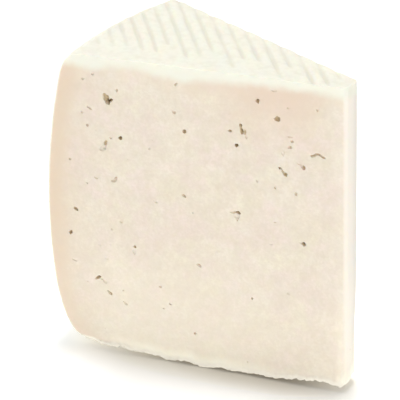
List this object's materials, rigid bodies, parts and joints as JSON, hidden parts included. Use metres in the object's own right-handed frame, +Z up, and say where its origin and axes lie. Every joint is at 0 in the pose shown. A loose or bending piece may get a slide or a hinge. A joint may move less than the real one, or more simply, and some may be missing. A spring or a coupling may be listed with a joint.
{
  "type": "goat cheese wedge",
  "caption": "Wedge of pale pressed goat cheese with a white ribbed rind, small scattered eyes on its cut faces, a bulging rim side and a blunt tip.",
  "frame": {"origin": "middle of the wedge's box, on the surface that the lower rind stands on", "axes": "+Z up through the two rinds; +X towards the blunt tip; -Y is the way the front cut looks, so the rind side is at -X"},
  "size_m": [0.088, 0.049, 0.092],
  "materials": {
    "cheese": "ivory, close pressed paste with a soft damp sheen, and a thin white rind above and below"
  },
  "bodies": {
    "root": {"cheese_wedge": "cheese"}
  },
  "joints": []
}
